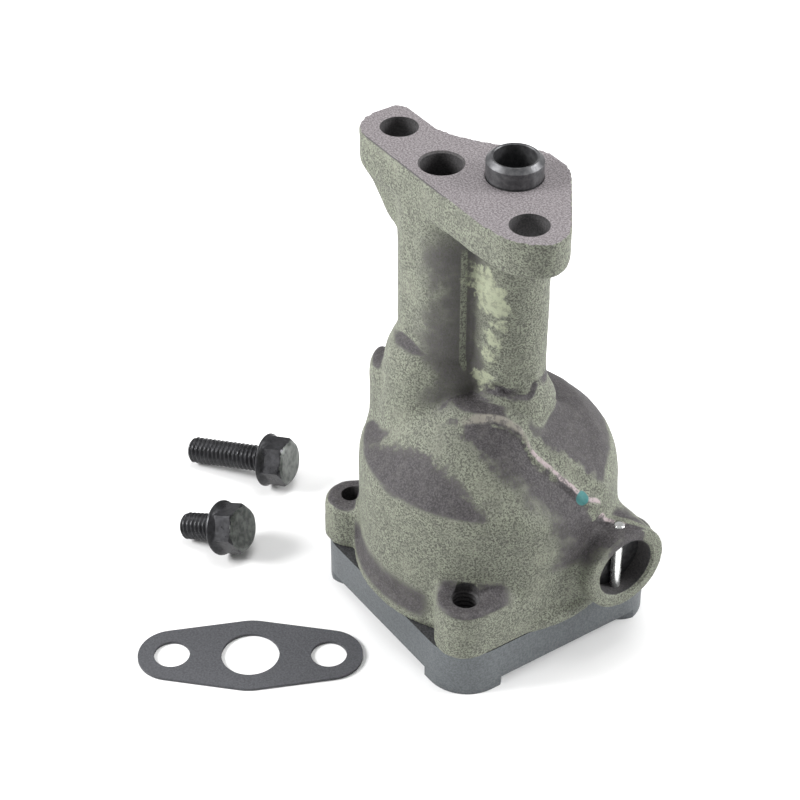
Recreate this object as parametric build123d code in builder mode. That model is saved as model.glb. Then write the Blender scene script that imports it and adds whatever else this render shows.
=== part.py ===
from build123d import *
import os
from math import atan2, cos, degrees, hypot, pi, radians, sin

# Gerotor engine oil pump with its pickup gasket and bolts.
# Sizes are in mm. The origin is on the drive axis, in the face that bolts to the engine
# block, and +Z points out of that face towards the block. +X runs along the relief bore
# to its open mouth.

os.makedirs("parts", exist_ok=True)

# ---------------------------------------------------------------- overall stack
PUMP_HEIGHT = 137.0          # feet to mounting face
FOOT_HEIGHT = 3.0
COVER_THICKNESS = 11.5
COVER_SIDE = 70.0
COVER_CORNER_R = 12.0
BODY_X = -2.6                # bowl centre, measured from the drive axis
BODY_Y = -3.3
LUG_R = 8.0                  # corner lugs round the screws
SCREW_OFFSET = COVER_SIDE / 2 - LUG_R
COVER_TOP = FOOT_HEIGHT + COVER_THICKNESS

# ---------------------------------------------------------------- bowl
BOWL_R = COVER_SIDE / 2 + 0.5
RIM_R = BOWL_R + 1.5
RIM_HEIGHT = 3.2
WALL_TOP = 50.0              # front of the bowl: wall, shoulder arc, cone and crown
SHOULDER_R = 6.0
CONE_TOP_R = 15.0
CROWN_TOP = 74.0
BACK_WALL_TOP = 44.0         # back of the bowl: a lower, rounder dome
BACK_SHOULDER_R = 20.5
LUG_TOP = 27.6
CARVE_HEIGHT = 60.0          # more than the bowl stands above its lugs
SWELL_X, SWELL_Y = -24.2, -13.6
SWELL_R = 12.0
SWELL_BASE = 46.0
SWELL_TOP = 73.0
SWELL_ROUND = 4.0

# ---------------------------------------------------------------- roof facets
NEAR_POINT = (8.4, -5.7, 77.5)      # x, y and height of a point on the facet
NEAR_NORMAL = (0.774, 0.0925, 0.626)
FAR_POINT = (16.3, -7.1, 70.4)
FAR_NORMAL = (0.534, 0.388, 0.751)
ROOT_X, ROOT_Y = 1.9, -0.7          # sloping root on the right of the drive column
ROOT_R = 8.9
ROOT_TOP = 78.0
ROOT_DEPTH = 9.0
ROOT_SLOPE = 27.0

# ---------------------------------------------------------------- columns and flange
FLANGE_THICKNESS = 10.5
FLANGE_EDGE_Y = -20.4
BOLT_SPACING = 55.5
BOLT_MID_X = -7.85
BOLT_Y = -10.3
BOLT_HOLE_R = 5.0
OUTLET_X, OUTLET_Y = -15.1, -11.5
OUTLET_R = 5.5
OUTLET_CHAMFER = 0.5
DRIVE_COLUMN_R = 10.2
OUTLET_COLUMN_R = 9.2
OUTLET_COLUMN_HALF = 3.3            # half the distance between the column's two arcs
OUTLET_BODY_R = 15.9
OUTLET_BODY_WAIST = 64.0            # where its wall starts to draw in
OUTLET_BODY_TOP = 87.0
RIB_X = -3.85
RIB_HALF = 0.95
RIB_BOTTOM = 72.0
FLANGE_NECK_R = 14.2
FLANGE_EAR_R = 10.2
FLANGE_END_R = 9.1
FLANGE_END_X = -36.3
GUSSET_X = -37.8
GUSSET_FOOT_X = -27.2
GUSSET_DEPTH = 10.0

# ---------------------------------------------------------------- drive
SHAFT_R = 6.35
SHAFT_CLEARANCE = 0.04
SLEEVE_R = 7.35
SLEEVE_SEAT_R = 7.05                # in the housing, and in the groove at the flange
SLEEVE_GROOVE = 0.4
SLEEVE_SEAT_LEAD = 0.45             # countersink at the seat's mouth, wider than the sleeve
SLEEVE_BORE_R = 5.5
SLEEVE_DEPTH = 12.0
SLEEVE_PROUD = 5.8
SLEEVE_LEAD = 1.2
SLEEVE_GAP = 0.5                    # shaft end to sleeve
HEX_FLATS = 8.0
HEX_DEPTH = 14.0

# ---------------------------------------------------------------- gerotor
ROTOR_THICKNESS = 22.0
END_FLOAT = 0.04
ECCENTRICITY = 2.7
OUTER_LOBES = 5
INNER_TEETH = OUTER_LOBES - 1
LOBE_PITCH_R = 17.6
LOBE_R = 5.4
TIP_CLEARANCE = 0.05
OUTER_ROTOR_R = 21.0
POCKET_CLEARANCE = 0.05
PORT_R = 14.5
PORT_WIDTH = 8.0
INLET_FROM, INLET_SWEEP = 277, 88
DISCHARGE_FROM, DISCHARGE_SWEEP = 108, 92
INLET_PORT_DEPTH = 5.0
DISCHARGE_PORT_HEIGHT = 8.0

# ---------------------------------------------------------------- relief valve
RELIEF_Y = 12.9
RELIEF_HEIGHT = 28.5
RELIEF_BORE_R = 8.7
RELIEF_BOSS_R = 12.6
RELIEF_MOUTH_X = 39.0
RELIEF_END_X = 20.0
VALVE_CLEARANCE = 0.04
VALVE_X = 22.0                      # pressure face, valve closed
VALVE_LENGTH = 6.0
VALVE_CROWN = 1.2
SPRING_WIRE_R = 0.55
SPRING_MEAN_R = 5.6
SPRING_COILS = 4
CAP_THICKNESS = 2.05
PIN_R = 1.45
PIN_X = 34.5

# ---------------------------------------------------------------- fasteners and pickup
COVER_SCREW_R = 3.175               # 1/4 in
COVER_SCREW_LENGTH = 15.9
COVER_SCREW_HEAD_R = 4.75
COVER_SCREW_HEAD = 6.35
COVER_SCREW_SINK = 6.7
SCREW_CLEARANCE = 0.03
PICKUP_BOLT_R = 3.95                # 5/16 in
PICKUP_TAP_R = 3.45
PICKUP_LONG = 25.4
PICKUP_SHORT = 12.7
BOLT_FLATS = 12.7
BOLT_HEX_HEIGHT = 8.3
BOLT_FLANGE_R = 8.0
BOLT_FLANGE_EDGE = 1.1
BOLT_FLANGE_CONE = 1.4
BLIND_TAP_DEPTH = 9.0
INLET_BORE_R = 8.0
PICKUP_SPACING = 43.2
PICKUP_TURN = 113.1                 # from the through bolt to the blind one
PICKUP_A = (SCREW_OFFSET, -SCREW_OFFSET)    # through bolt, from the bowl centre
PICKUP_B = (
    PICKUP_A[0] + PICKUP_SPACING * cos(radians(PICKUP_TURN)),
    PICKUP_A[1] + PICKUP_SPACING * sin(radians(PICKUP_TURN)),
)
TAP_RUNOUT = 1.0                    # the lug holes go this far past the lugs' tops
GASKET_THICKNESS = 0.8
GASKET_LOBE_R = 9.4
GASKET_CENTRE_R = 13.35
GASKET_WAIST = 17.4
GASKET_BOLT_HOLE_R = 4.95
GASKET_INLET_HOLE_R = 8.0


def level(height):
    """Z of a height above the feet."""
    return height - PUMP_HEIGHT


def flat(x, y, height):
    """A plane parallel to the mounting face, at a height above the feet."""
    return Plane(origin=(x, y, level(height)), x_dir=(1, 0, 0), z_dir=(0, 0, 1))


def upright(x, y, height=0.0):
    """A plane for profiles drawn as (radius, height)."""
    return Plane(origin=(x, y, level(height)), x_dir=(1, 0, 0), z_dir=(0, -1, 0))


def across(x):
    """A plane square to the relief axis, centred on it."""
    return Plane(origin=(x, RELIEF_Y, level(RELIEF_HEIGHT)), x_dir=(0, 1, 0), z_dir=(1, 0, 0))


def unit(vector):
    size = Vector(*vector).length
    return tuple(part / size for part in vector)


screw_points = [
    (BODY_X - SCREW_OFFSET, BODY_Y - SCREW_OFFSET),
    (BODY_X - SCREW_OFFSET, BODY_Y + SCREW_OFFSET),
    (BODY_X + SCREW_OFFSET, BODY_Y + SCREW_OFFSET),
]
front_point = (BODY_X + PICKUP_A[0], BODY_Y + PICKUP_A[1])
blind_point = (BODY_X + PICKUP_B[0], BODY_Y + PICKUP_B[1])
inlet_point = ((front_point[0] + blind_point[0]) / 2, (front_point[1] + blind_point[1]) / 2)
pickup_angle = degrees(atan2(blind_point[1] - front_point[1], blind_point[0] - front_point[0]))

POCKET_DEPTH = ROTOR_THICKNESS + 2 * END_FLOAT
POCKET_TOP = COVER_TOP + POCKET_DEPTH
PHASE = atan2(BODY_Y, BODY_X)       # from the drive axis to the outer rotor's centre
ROTOR_X = ECCENTRICITY * cos(PHASE)
ROTOR_Y = ECCENTRICITY * sin(PHASE)
SHAFT_TOP = PUMP_HEIGHT - SLEEVE_DEPTH - SLEEVE_GAP
VALVE_R = RELIEF_BORE_R - VALVE_CLEARANCE
CAP_FACE_X = PIN_X - PIN_R
SPRING_START_X = VALVE_X + VALVE_CROWN
SPRING_END_X = CAP_FACE_X - CAP_THICKNESS
FEED_X = RELIEF_END_X + 0.6
RETURN_X = VALVE_X + 2.9

# Middle lines of the two kidney-shaped ports, about the rotor centre
discharge_arc = CenterArc((0, 0), PORT_R, DISCHARGE_FROM, DISCHARGE_SWEEP)
inlet_arc = CenterArc((0, 0), PORT_R, INLET_FROM, INLET_SWEEP)

bolt_holes = [(BOLT_MID_X - BOLT_SPACING / 2, BOLT_Y), (BOLT_MID_X + BOLT_SPACING / 2, BOLT_Y)]


# ================================================================ housing
# Bowl, revolved about its own centre.
with BuildPart() as bowl:
    with BuildSketch(upright(BODY_X, BODY_Y)):
        with BuildLine():
            flare = RIM_R - BOWL_R + 0.9
            Line((0, COVER_TOP), (RIM_R, COVER_TOP))
            Line((RIM_R, COVER_TOP), (RIM_R, COVER_TOP + RIM_HEIGHT))
            RadiusArc((RIM_R, COVER_TOP + RIM_HEIGHT), (BOWL_R, COVER_TOP + RIM_HEIGHT + flare), flare)
            Line((BOWL_R, COVER_TOP + RIM_HEIGHT + flare), (BOWL_R, WALL_TOP))
            CenterArc((BOWL_R - SHOULDER_R, WALL_TOP), SHOULDER_R, 0, 70)
            turn_in = (
                BOWL_R - SHOULDER_R + SHOULDER_R * cos(radians(70)),
                WALL_TOP + SHOULDER_R * sin(radians(70)),
            )
            Polyline(turn_in, (CONE_TOP_R, CROWN_TOP), (0, CROWN_TOP), (0, COVER_TOP))
        make_face()
    revolve(axis=Axis((BODY_X, BODY_Y, 0), (0, 0, 1)))
    # Swell on the left of the bowl, rounded over at its top.
    with BuildSketch(upright(SWELL_X, SWELL_Y)):
        with BuildLine():
            Polyline((0, SWELL_TOP), (0, SWELL_BASE), (SWELL_R, SWELL_BASE))
            Line((SWELL_R, SWELL_BASE), (SWELL_R, SWELL_TOP - SWELL_ROUND))
            CenterArc((SWELL_R - SWELL_ROUND, SWELL_TOP - SWELL_ROUND), SWELL_ROUND, 0, 90)
            Line((SWELL_R - SWELL_ROUND, SWELL_TOP), (0, SWELL_TOP))
        make_face()
    revolve(axis=Axis((SWELL_X, SWELL_Y, 0), (0, 0, 1)))

# Two facets slope down from the drive column to the relief boss. A rim of the dome
# rises beyond them, and the dome behind that rim is lower than the front.
near_plane = Plane(
    origin=(NEAR_POINT[0], NEAR_POINT[1], level(NEAR_POINT[2])),
    x_dir=unit((NEAR_NORMAL[2], 0, -NEAR_NORMAL[0])),
    z_dir=NEAR_NORMAL,
)
far_plane = Plane(
    origin=(FAR_POINT[0], FAR_POINT[1], level(FAR_POINT[2])),
    x_dir=unit((FAR_NORMAL[2], 0, -FAR_NORMAL[0])),
    z_dir=FAR_NORMAL,
)
BEYOND = 3 * CARVE_HEIGHT           # wider than the whole pump
rim_points = [
    (46, 14.5), (33, 13.5), (28, 13.9), (23.4, 14.6), (19, 15.9),
    (15.5, 17.3), (12, 18.2), (9.9, 16.6), (8, 13.8), (6.5, 11), (5, 8.7),
]
band_points = [
    (6, 2), (16.3, -7.1), (18.4, -3), (21.6, 1.4), (24.8, 5.4), (27.5, 9.2), (30.2, 12.2), (46, 12.6),
]

with BuildPart() as near_cut:
    with BuildSketch(flat(0, 0, LUG_TOP)):
        with BuildLine():
            Polyline(*band_points, (46, -60), (-20, -60), (0, 0), close=True)
        make_face()
    extrude(amount=CARVE_HEIGHT)
    with BuildSketch(near_plane):
        Rectangle(BEYOND, BEYOND)
    extrude(amount=BEYOND, mode=Mode.INTERSECT)

with BuildPart() as far_cut:
    with BuildSketch(flat(0, 0, LUG_TOP)):
        with BuildLine():
            Spline(*rim_points)
            Polyline(rim_points[-1], *band_points, rim_points[0])
        make_face()
    extrude(amount=CARVE_HEIGHT)
    with BuildSketch(far_plane):
        Rectangle(BEYOND, BEYOND)
    extrude(amount=BEYOND, mode=Mode.INTERSECT)

with BuildPart() as back_cut:
    with BuildSketch(flat(0, 0, LUG_TOP)):
        with BuildLine():
            Spline(*rim_points)
            Polyline(
                rim_points[-1], (0, 0), (OUTLET_X, OUTLET_Y), (-46, -21), (-46, 60), (46, 60),
                rim_points[0],
            )
        make_face()
    extrude(amount=CARVE_HEIGHT)
    with BuildSketch(upright(BODY_X, BODY_Y)):
        with BuildLine():
            Polyline((0, COVER_TOP), (RIM_R, COVER_TOP), (RIM_R, LUG_TOP), (BOWL_R, LUG_TOP))
            Line((BOWL_R, LUG_TOP), (BOWL_R, BACK_WALL_TOP))
            CenterArc((BOWL_R - BACK_SHOULDER_R, BACK_WALL_TOP), BACK_SHOULDER_R, 0, 90)
            back_top = BACK_WALL_TOP + BACK_SHOULDER_R
            Polyline((BOWL_R - BACK_SHOULDER_R, back_top), (0, back_top), (0, COVER_TOP))
        make_face()
    revolve(axis=Axis((BODY_X, BODY_Y, 0), (0, 0, 1)), mode=Mode.SUBTRACT)

# Lugs, webs and the flat front wall share one outline.
with BuildSketch(flat(0, 0, COVER_TOP)) as lug_outline:
    for point in screw_points + [front_point]:
        with BuildSketch(mode=Mode.PRIVATE) as lug:
            with Locations(point):
                Circle(LUG_R)
            with Locations(((point[0] + BODY_X) / 2, (point[1] + BODY_Y) / 2)):
                Circle(LUG_R + 2)
            make_hull()
        add(lug.sketch)
    with Locations(((BODY_X + front_point[0] + LUG_R) / 2, (front_point[1] + BODY_Y) / 2)):
        Rectangle(front_point[0] + LUG_R - BODY_X, BODY_Y - front_point[1])

with BuildPart() as housing:
    add(bowl.part)
    add(near_cut.part, mode=Mode.SUBTRACT)
    add(far_cut.part, mode=Mode.SUBTRACT)
    add(back_cut.part, mode=Mode.SUBTRACT)

    # Root of the drive column
    with BuildSketch(flat(ROOT_X, ROOT_Y, ROOT_TOP)):
        Circle(ROOT_R)
    extrude(amount=-ROOT_DEPTH, taper=-ROOT_SLOPE)

    # Lugs and front wall
    extrude(lug_outline.sketch, amount=LUG_TOP - COVER_TOP)

    # Relief valve boss
    with BuildSketch(across(RELIEF_END_X - 8)):
        Circle(RELIEF_BOSS_R)
    extrude(amount=RELIEF_MOUTH_X - RELIEF_END_X + 8)

    # Outlet body, revolved about the outlet axis
    with BuildSketch(upright(OUTLET_X, OUTLET_Y)):
        with BuildLine():
            wide, top = OUTLET_BODY_R, OUTLET_BODY_TOP
            Line((0, POCKET_TOP), (wide, POCKET_TOP))
            Line((wide, POCKET_TOP), (wide, OUTLET_BODY_WAIST))
            Spline(
                (wide, OUTLET_BODY_WAIST), (wide - 0.9, top - 13), (wide - 2.3, top - 5.2),
                (wide - 5, top - 0.8), (wide - 8.9, top),
            )
            Line((wide - 8.9, top), (0, top))
            Line((0, top), (0, POCKET_TOP))
        make_face()
    revolve(axis=Axis((OUTLET_X, OUTLET_Y, 0), (0, 0, 1)))

    # Outlet column, two arcs side by side
    with BuildSketch(flat(OUTLET_X, OUTLET_Y, OUTLET_BODY_TOP - 6)):
        SlotCenterToCenter(2 * OUTLET_COLUMN_HALF, 2 * OUTLET_COLUMN_R)
    extrude(amount=PUMP_HEIGHT - FLANGE_THICKNESS - OUTLET_BODY_TOP + 6)

    # Drive column
    with BuildSketch(flat(0, 0, POCKET_TOP)):
        Circle(DRIVE_COLUMN_R)
    extrude(amount=PUMP_HEIGHT - FLANGE_THICKNESS - POCKET_TOP)

    # Parting rib between the columns
    with BuildSketch(Plane.YZ.offset(RIB_X)):
        with BuildLine():
            Polyline(
                (0, level(RIB_BOTTOM - 8)), (-13.2, level(RIB_BOTTOM)),
                (-12.0, -FLANGE_THICKNESS), (0, -FLANGE_THICKNESS), close=True,
            )
        make_face()
    extrude(amount=RIB_HALF, both=True)

    # Mounting flange
    with BuildSketch(Plane.XY):
        with BuildLine():
            ear = (bolt_holes[1][0], FLANGE_EDGE_Y + FLANGE_EAR_R)
            run = atan2(ear[1], ear[0])
            tilt = run + pi / 2 + (FLANGE_EAR_R - FLANGE_NECK_R) / hypot(*ear)
            normal = (cos(tilt), sin(tilt))
            neck_end = (FLANGE_NECK_R * normal[0], FLANGE_NECK_R * normal[1])
            ear_start = (ear[0] + FLANGE_EAR_R * normal[0], ear[1] + FLANGE_EAR_R * normal[1])
            end_y = FLANGE_EDGE_Y + FLANGE_END_R
            end_x = FLANGE_END_X - FLANGE_END_R
            Line((10, FLANGE_EDGE_Y), (FLANGE_END_X, FLANGE_EDGE_Y))
            RadiusArc((FLANGE_END_X, FLANGE_EDGE_Y), (end_x, end_y), FLANGE_END_R)
            Line((end_x, end_y), (end_x, -5.6))
            RadiusArc((end_x, -5.6), (end_x + 2.5, -3.1), 2.5)
            Line((end_x + 2.5, -3.1), (-33, -3.1))
            waist = Spline(
                (-33, -3.1), (-24.6, -0.9), (-17.1, 3.6), (-6.5, 12.62),
                tangents=((1, 0), (0.81, 0.59)),
            )
            ThreePointArc(waist @ 1, (0, FLANGE_NECK_R), neck_end)
            Line(neck_end, ear_start)
            ThreePointArc(
                ear_start,
                (ear[0] + FLANGE_EAR_R * cos(radians(18)), ear[1] + FLANGE_EAR_R * sin(radians(18))),
                (ear[0] + FLANGE_EAR_R, ear[1] - 0.6),
            )
            ThreePointArc((ear[0] + FLANGE_EAR_R, ear[1] - 0.6), (26.6, -15.6), (17.5, -19.6))
            Line((17.5, -19.6), (10, FLANGE_EDGE_Y))
        make_face()
    extrude(amount=-FLANGE_THICKNESS)

    # Gusset under the flange's left end
    with BuildSketch(Plane.XZ.offset(-OUTLET_Y)):
        with BuildLine():
            Polyline(
                (GUSSET_X, -FLANGE_THICKNESS), (OUTLET_X - 4.9, -FLANGE_THICKNESS),
                (OUTLET_X - 4.9, -FLANGE_THICKNESS - GUSSET_DEPTH),
                (GUSSET_FOOT_X, -FLANGE_THICKNESS - GUSSET_DEPTH), close=True,
            )
        make_face()
    extrude(amount=OUTLET_COLUMN_R - 1.2, both=True)

    # ---- hollows
    # Rotor pocket
    with BuildSketch(flat(ROTOR_X, ROTOR_Y, COVER_TOP)):
        Circle(OUTER_ROTOR_R + POCKET_CLEARANCE)
    extrude(amount=POCKET_DEPTH, mode=Mode.SUBTRACT)

    # Drive bore and the sleeve's seat above it
    with BuildSketch(flat(0, 0, COVER_TOP)):
        Circle(SHAFT_R + SHAFT_CLEARANCE)
    extrude(amount=PUMP_HEIGHT - COVER_TOP, mode=Mode.SUBTRACT)
    with BuildSketch(Plane.XY):
        Circle(SLEEVE_SEAT_R)
    extrude(amount=-SLEEVE_DEPTH, mode=Mode.SUBTRACT)
    with BuildSketch(Plane.XY):
        Circle(SLEEVE_SEAT_R + SLEEVE_SEAT_LEAD)
    extrude(amount=-SLEEVE_SEAT_LEAD, taper=44, mode=Mode.SUBTRACT)

    # Outlet bore, from the mounting face down to the discharge port
    with BuildSketch(Plane.XY):
        with Locations((OUTLET_X, OUTLET_Y)):
            Circle(OUTLET_R)
    extrude(amount=level(POCKET_TOP + 2), mode=Mode.SUBTRACT)
    with BuildSketch(Plane.XY):
        with Locations((OUTLET_X, OUTLET_Y)):
            Circle(OUTLET_R + OUTLET_CHAMFER)
    extrude(amount=-OUTLET_CHAMFER - 0.4, taper=29, mode=Mode.SUBTRACT)

    # Discharge port in the pocket's ceiling, and its gallery to the relief valve
    with BuildSketch(flat(ROTOR_X, ROTOR_Y, POCKET_TOP)):
        SlotArc(discharge_arc, PORT_WIDTH)
    extrude(amount=DISCHARGE_PORT_HEIGHT, mode=Mode.SUBTRACT)
    port_x = ROTOR_X + PORT_R * cos(radians(DISCHARGE_FROM))
    with BuildSketch(flat((port_x + FEED_X) / 2, RELIEF_Y, POCKET_TOP + 2)):
        SlotCenterToCenter(FEED_X - port_x, 5)
    extrude(amount=5, mode=Mode.SUBTRACT)
    with BuildSketch(flat(FEED_X, RELIEF_Y, RELIEF_HEIGHT)):
        Circle(2.5)
    extrude(amount=POCKET_TOP + 4 - RELIEF_HEIGHT, mode=Mode.SUBTRACT)

    # Relief bore, with a countersunk mouth, and its return drilling to the cover
    with BuildSketch(across(RELIEF_END_X)):
        Circle(RELIEF_BORE_R)
    extrude(amount=RELIEF_MOUTH_X - RELIEF_END_X, mode=Mode.SUBTRACT)
    with BuildSketch(across(RELIEF_MOUTH_X)):
        Circle(RELIEF_BORE_R + 0.8)
    extrude(amount=-0.8, taper=45, mode=Mode.SUBTRACT)
    with BuildSketch(flat(RETURN_X, RELIEF_Y, COVER_TOP)):
        Circle(2.0)
    extrude(amount=RELIEF_HEIGHT - COVER_TOP, mode=Mode.SUBTRACT)
    with BuildSketch(flat(PIN_X, RELIEF_Y, COVER_TOP)):
        Circle(PIN_R)
    extrude(amount=PUMP_HEIGHT / 3, mode=Mode.SUBTRACT)

    # Mounting bolt holes
    with BuildSketch(Plane.XY):
        with Locations(*bolt_holes):
            Circle(BOLT_HOLE_R)
    extrude(amount=-FLANGE_THICKNESS - 12, mode=Mode.SUBTRACT)

    # Tapped holes in the lugs
    with BuildSketch(flat(0, 0, COVER_TOP)):
        with Locations(*screw_points):
            Circle(COVER_SCREW_R + SCREW_CLEARANCE)
        with Locations(front_point):
            Circle(PICKUP_TAP_R)
    extrude(amount=LUG_TOP - COVER_TOP + TAP_RUNOUT, mode=Mode.SUBTRACT)
housing.part.label = "housing"
export_step(housing.part, "parts/housing.step")


# ================================================================ cover
def gasket_outline(plane):
    """Three-lobed outline shared by the pickup gasket and the pad it seals on."""
    with BuildSketch(plane) as outline:
        Rectangle(PICKUP_SPACING, GASKET_WAIST)
        with GridLocations(PICKUP_SPACING, 0, 2, 1):
            Circle(GASKET_LOBE_R)
        Circle(GASKET_CENTRE_R)
        fillet(outline.vertices(), 4.0)
    return outline.sketch


pad_plane = Plane(
    origin=(inlet_point[0], inlet_point[1], level(0)),
    x_dir=(cos(radians(pickup_angle)), sin(radians(pickup_angle)), 0),
    z_dir=(0, 0, 1),
)

with BuildPart() as cover:
    with BuildSketch(flat(BODY_X, BODY_Y, FOOT_HEIGHT)):
        RectangleRounded(COVER_SIDE, COVER_SIDE, COVER_CORNER_R)
    extrude(amount=COVER_THICKNESS)

    # Feet under the screws and the front corner, and the pickup pad, clipped to the outline
    with BuildSketch(flat(0, 0, 0)):
        with Locations(*screw_points):
            Circle(LUG_R - 0.4)
        with Locations(front_point):
            Circle(LUG_R + 2.5)
        add(gasket_outline(pad_plane.offset(-level(0))))
        with Locations((BODY_X, BODY_Y)):
            RectangleRounded(COVER_SIDE, COVER_SIDE, COVER_CORNER_R, mode=Mode.INTERSECT)
    extrude(amount=FOOT_HEIGHT)

    # Inlet bore and the inlet port above it
    with BuildSketch(flat(*inlet_point, 0)):
        Circle(INLET_BORE_R)
    extrude(amount=COVER_TOP - INLET_PORT_DEPTH + 1, mode=Mode.SUBTRACT)
    with BuildSketch(flat(ROTOR_X, ROTOR_Y, COVER_TOP)):
        SlotArc(inlet_arc, PORT_WIDTH)
    extrude(amount=-INLET_PORT_DEPTH, mode=Mode.SUBTRACT)

    # Groove that returns relief oil to the inlet port
    groove_end = (ROTOR_X + PORT_R * cos(radians(INLET_FROM + INLET_SWEEP)), ROTOR_Y + PORT_R * sin(radians(INLET_FROM + INLET_SWEEP)))
    groove_run = (RETURN_X - groove_end[0], RELIEF_Y - groove_end[1])
    groove_plane = Plane(
        origin=((RETURN_X + groove_end[0]) / 2, (RELIEF_Y + groove_end[1]) / 2, level(COVER_TOP)),
        x_dir=(groove_run[0], groove_run[1], 0),
        z_dir=(0, 0, 1),
    )
    with BuildSketch(groove_plane):
        SlotCenterToCenter(hypot(*groove_run), 4)
    extrude(amount=-3, mode=Mode.SUBTRACT)

    # Screw holes with sunk heads
    with BuildSketch(flat(0, 0, 0)):
        with Locations(*screw_points):
            Circle(COVER_SCREW_HEAD_R + 0.4)
    extrude(amount=COVER_SCREW_SINK, mode=Mode.SUBTRACT)
    with BuildSketch(flat(0, 0, 0)):
        with Locations(*screw_points):
            Circle(COVER_SCREW_R + 0.25)
        with Locations(front_point):
            Circle(PICKUP_BOLT_R + 0.25)
    extrude(amount=COVER_TOP, mode=Mode.SUBTRACT)
    with BuildSketch(flat(*blind_point, 0)):
        Circle(PICKUP_TAP_R)
    extrude(amount=BLIND_TAP_DEPTH, mode=Mode.SUBTRACT)
cover.part.label = "cover"
export_step(cover.part, "parts/cover.step")


# ================================================================ rotors
with BuildPart() as outer_rotor:
    with BuildSketch(flat(ROTOR_X, ROTOR_Y, COVER_TOP + END_FLOAT)):
        Circle(OUTER_ROTOR_R)
        Circle(LOBE_PITCH_R - LOBE_R + 2 * ECCENTRICITY + 0.1, mode=Mode.SUBTRACT)
        with BuildSketch(mode=Mode.PRIVATE) as lobes:
            with PolarLocations(LOBE_PITCH_R, OUTER_LOBES, start_angle=degrees(PHASE)):
                Circle(LOBE_R)
            Circle(OUTER_ROTOR_R, mode=Mode.INTERSECT)
        add(lobes.sketch)
    extrude(amount=ROTOR_THICKNESS)
outer_rotor.part.label = "outer_rotor"
export_step(outer_rotor.part, "parts/outer_rotor.step")


def tooth_point(turn):
    """A point of the inner rotor: the lobe centre's path, moved in by the lobe radius."""
    x = LOBE_PITCH_R * cos(turn) + ECCENTRICITY * cos(OUTER_LOBES * turn)
    y = LOBE_PITCH_R * sin(turn) + ECCENTRICITY * sin(OUTER_LOBES * turn)
    dx = -LOBE_PITCH_R * sin(turn) - OUTER_LOBES * ECCENTRICITY * sin(OUTER_LOBES * turn)
    dy = LOBE_PITCH_R * cos(turn) + OUTER_LOBES * ECCENTRICITY * cos(OUTER_LOBES * turn)
    inset = (LOBE_R + TIP_CLEARANCE) / hypot(dx, dy)
    return (x - inset * dy, y + inset * dx)


tooth_plane = Plane(
    origin=(0, 0, level(COVER_TOP + END_FLOAT)),
    x_dir=(cos(PHASE), sin(PHASE), 0),
    z_dir=(0, 0, 1),
)
TOOTH_STEPS = 24 * INNER_TEETH
with BuildPart() as inner_rotor:
    with BuildSketch(tooth_plane):
        with BuildLine():
            Spline(*[tooth_point(2 * pi * i / TOOTH_STEPS) for i in range(TOOTH_STEPS)], periodic=True)
        make_face()
        Circle(SHAFT_R, mode=Mode.SUBTRACT)
    extrude(amount=ROTOR_THICKNESS)
inner_rotor.part.label = "inner_rotor"
export_step(inner_rotor.part, "parts/inner_rotor.step")


# ================================================================ drive shaft and sleeve
with BuildPart() as drive_shaft:
    with BuildSketch(flat(0, 0, COVER_TOP + END_FLOAT)):
        Circle(SHAFT_R)
    extrude(amount=SHAFT_TOP - COVER_TOP - END_FLOAT)
    chamfer(drive_shaft.faces().sort_by(Axis.Z)[-1].edges(), 0.8)
    with BuildSketch(flat(0, 0, SHAFT_TOP)):
        RegularPolygon(HEX_FLATS / 2, 6, major_radius=False)
    extrude(amount=-HEX_DEPTH, mode=Mode.SUBTRACT)
drive_shaft.part.label = "drive_shaft"
export_step(drive_shaft.part, "parts/drive_shaft.step")

with BuildPart() as pilot_sleeve:
    with BuildSketch(upright(0, 0, PUMP_HEIGHT)):
        with BuildLine():
            Polyline(
                (SLEEVE_BORE_R, -SLEEVE_DEPTH), (SLEEVE_SEAT_R - 0.4, -SLEEVE_DEPTH),
                (SLEEVE_SEAT_R, -SLEEVE_DEPTH + 0.4), (SLEEVE_SEAT_R, SLEEVE_GROOVE),
                (SLEEVE_R, SLEEVE_GROOVE), (SLEEVE_R, SLEEVE_PROUD - SLEEVE_LEAD),
                (SLEEVE_R - SLEEVE_LEAD, SLEEVE_PROUD), (SLEEVE_BORE_R + 0.2, SLEEVE_PROUD),
                (SLEEVE_BORE_R, SLEEVE_PROUD - 0.2), close=True,
            )
        make_face()
    revolve(axis=Axis.Z)
pilot_sleeve.part.label = "pilot_sleeve"
export_step(pilot_sleeve.part, "parts/pilot_sleeve.step")


# ================================================================ relief valve train
with BuildPart() as relief_valve:
    with BuildSketch(across(VALVE_X)):
        Circle(VALVE_R)
    extrude(amount=VALVE_LENGTH)
    chamfer(relief_valve.faces().sort_by(Axis.X)[0].edges(), 0.6)
    with BuildSketch(across(VALVE_X + VALVE_CROWN)):
        Circle(SPRING_MEAN_R + SPRING_WIRE_R + 0.4)
    extrude(amount=VALVE_LENGTH, mode=Mode.SUBTRACT)
relief_valve.part.label = "relief_valve"
export_step(relief_valve.part, "parts/relief_valve.step")

SPRING_RISE = SPRING_END_X - SPRING_START_X - 2 * SPRING_WIRE_R
spring_start = (SPRING_START_X + SPRING_WIRE_R, RELIEF_Y, level(RELIEF_HEIGHT))
with BuildPart() as relief_spring:
    with BuildLine():
        coil = Helix(
            SPRING_RISE / SPRING_COILS, SPRING_RISE, SPRING_MEAN_R,
            center=spring_start, direction=(1, 0, 0),
        )
    with BuildSketch(Plane(coil @ 0, z_dir=coil % 0)):
        Circle(SPRING_WIRE_R)
    sweep(is_frenet=True)
relief_spring.part.label = "relief_spring"
export_step(relief_spring.part, "parts/relief_spring.step")

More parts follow.
